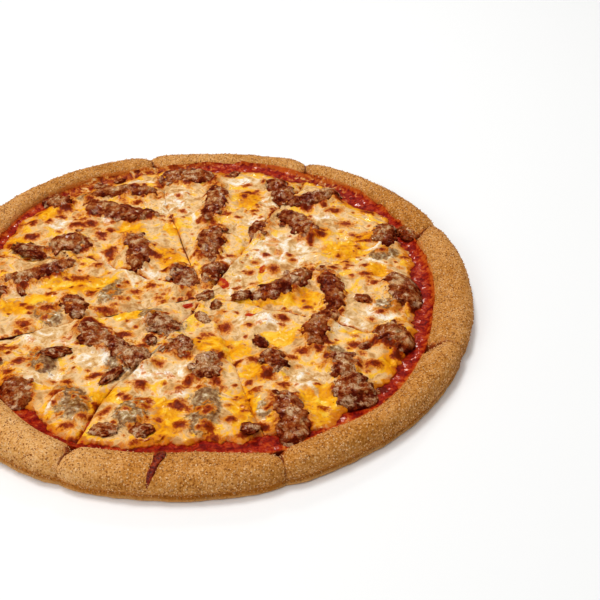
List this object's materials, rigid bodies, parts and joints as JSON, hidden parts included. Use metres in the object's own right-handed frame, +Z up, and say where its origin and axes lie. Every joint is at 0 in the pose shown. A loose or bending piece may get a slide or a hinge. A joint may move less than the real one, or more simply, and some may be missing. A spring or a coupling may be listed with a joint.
{
  "type": "doner kebab pizza",
  "caption": "Round baked pizza with a raised grainy crust, tomato sauce, melted cheese and strips of doner meat, cut into slices that lie together.",
  "frame": {"origin": "middle of the pizza on its underside, where it rests", "axes": "+Z up out of the toppings, +Y away from the side the picture is taken from, +X to its right"},
  "size_m": [0.2997, 0.2979, 0.0163],
  "materials": {
    "crust": "baked golden crust with coarse semolina grain, matt",
    "sauce": "cooked tomato sauce, deep red and glossy",
    "cheese": "melted cream and yellow cheese with browned blisters, softly glossy",
    "meat": "crumbly grilled doner meat, grey brown with dark edges, lightly oily",
    "burnt_sauce": "sauce burnt dark red brown, glossy"
  },
  "bodies": {
    "root": {"slice_1_dough": "crust", "slice_1_sauce": "sauce", "slice_1_cheese": "cheese", "slice_2_dough": "crust", "slice_2_sauce": "sauce", "slice_2_cheese": "cheese", "slice_3_dough": "crust", "slice_3_sauce": "sauce", "slice_3_cheese": "cheese", "slice_4_dough": "crust", "slice_4_sauce": "sauce", "slice_4_cheese": "cheese", "slice_5_dough": "crust", "slice_5_sauce": "sauce", "slice_5_cheese": "cheese", "slice_6_dough": "crust", "slice_6_sauce": "sauce", "slice_6_cheese": "cheese", "slice_7_dough": "crust", "slice_7_sauce": "sauce", "slice_7_cheese": "cheese", "slice_8_dough": "crust", "slice_8_sauce": "sauce", "slice_8_cheese": "cheese", "meat_01": "meat", "meat_02": "meat", "meat_03": "meat", "meat_04": "meat", "meat_05": "meat", "meat_06": "meat", "meat_07": "meat", "meat_08": "meat", "meat_09": "meat", "meat_10": "meat", "meat_11": "meat", "meat_12": "meat", "meat_13": "meat", "meat_14": "meat", "meat_15": "meat", "meat_16": "meat", "meat_17": "meat", "meat_18": "meat", "meat_19": "meat", "meat_20": "meat", "meat_21": "meat", "meat_22": "meat", "meat_23": "meat", "meat_24": "meat", "meat_25": "meat", "meat_26": "meat", "meat_27": "meat", "meat_28": "meat", "meat_29": "meat", "meat_30": "meat", "meat_31": "meat", "meat_32": "meat", "meat_33": "meat", "meat_34": "meat", "meat_35": "meat", "burnt_drip": "burnt_sauce"}
  },
  "joints": []
}
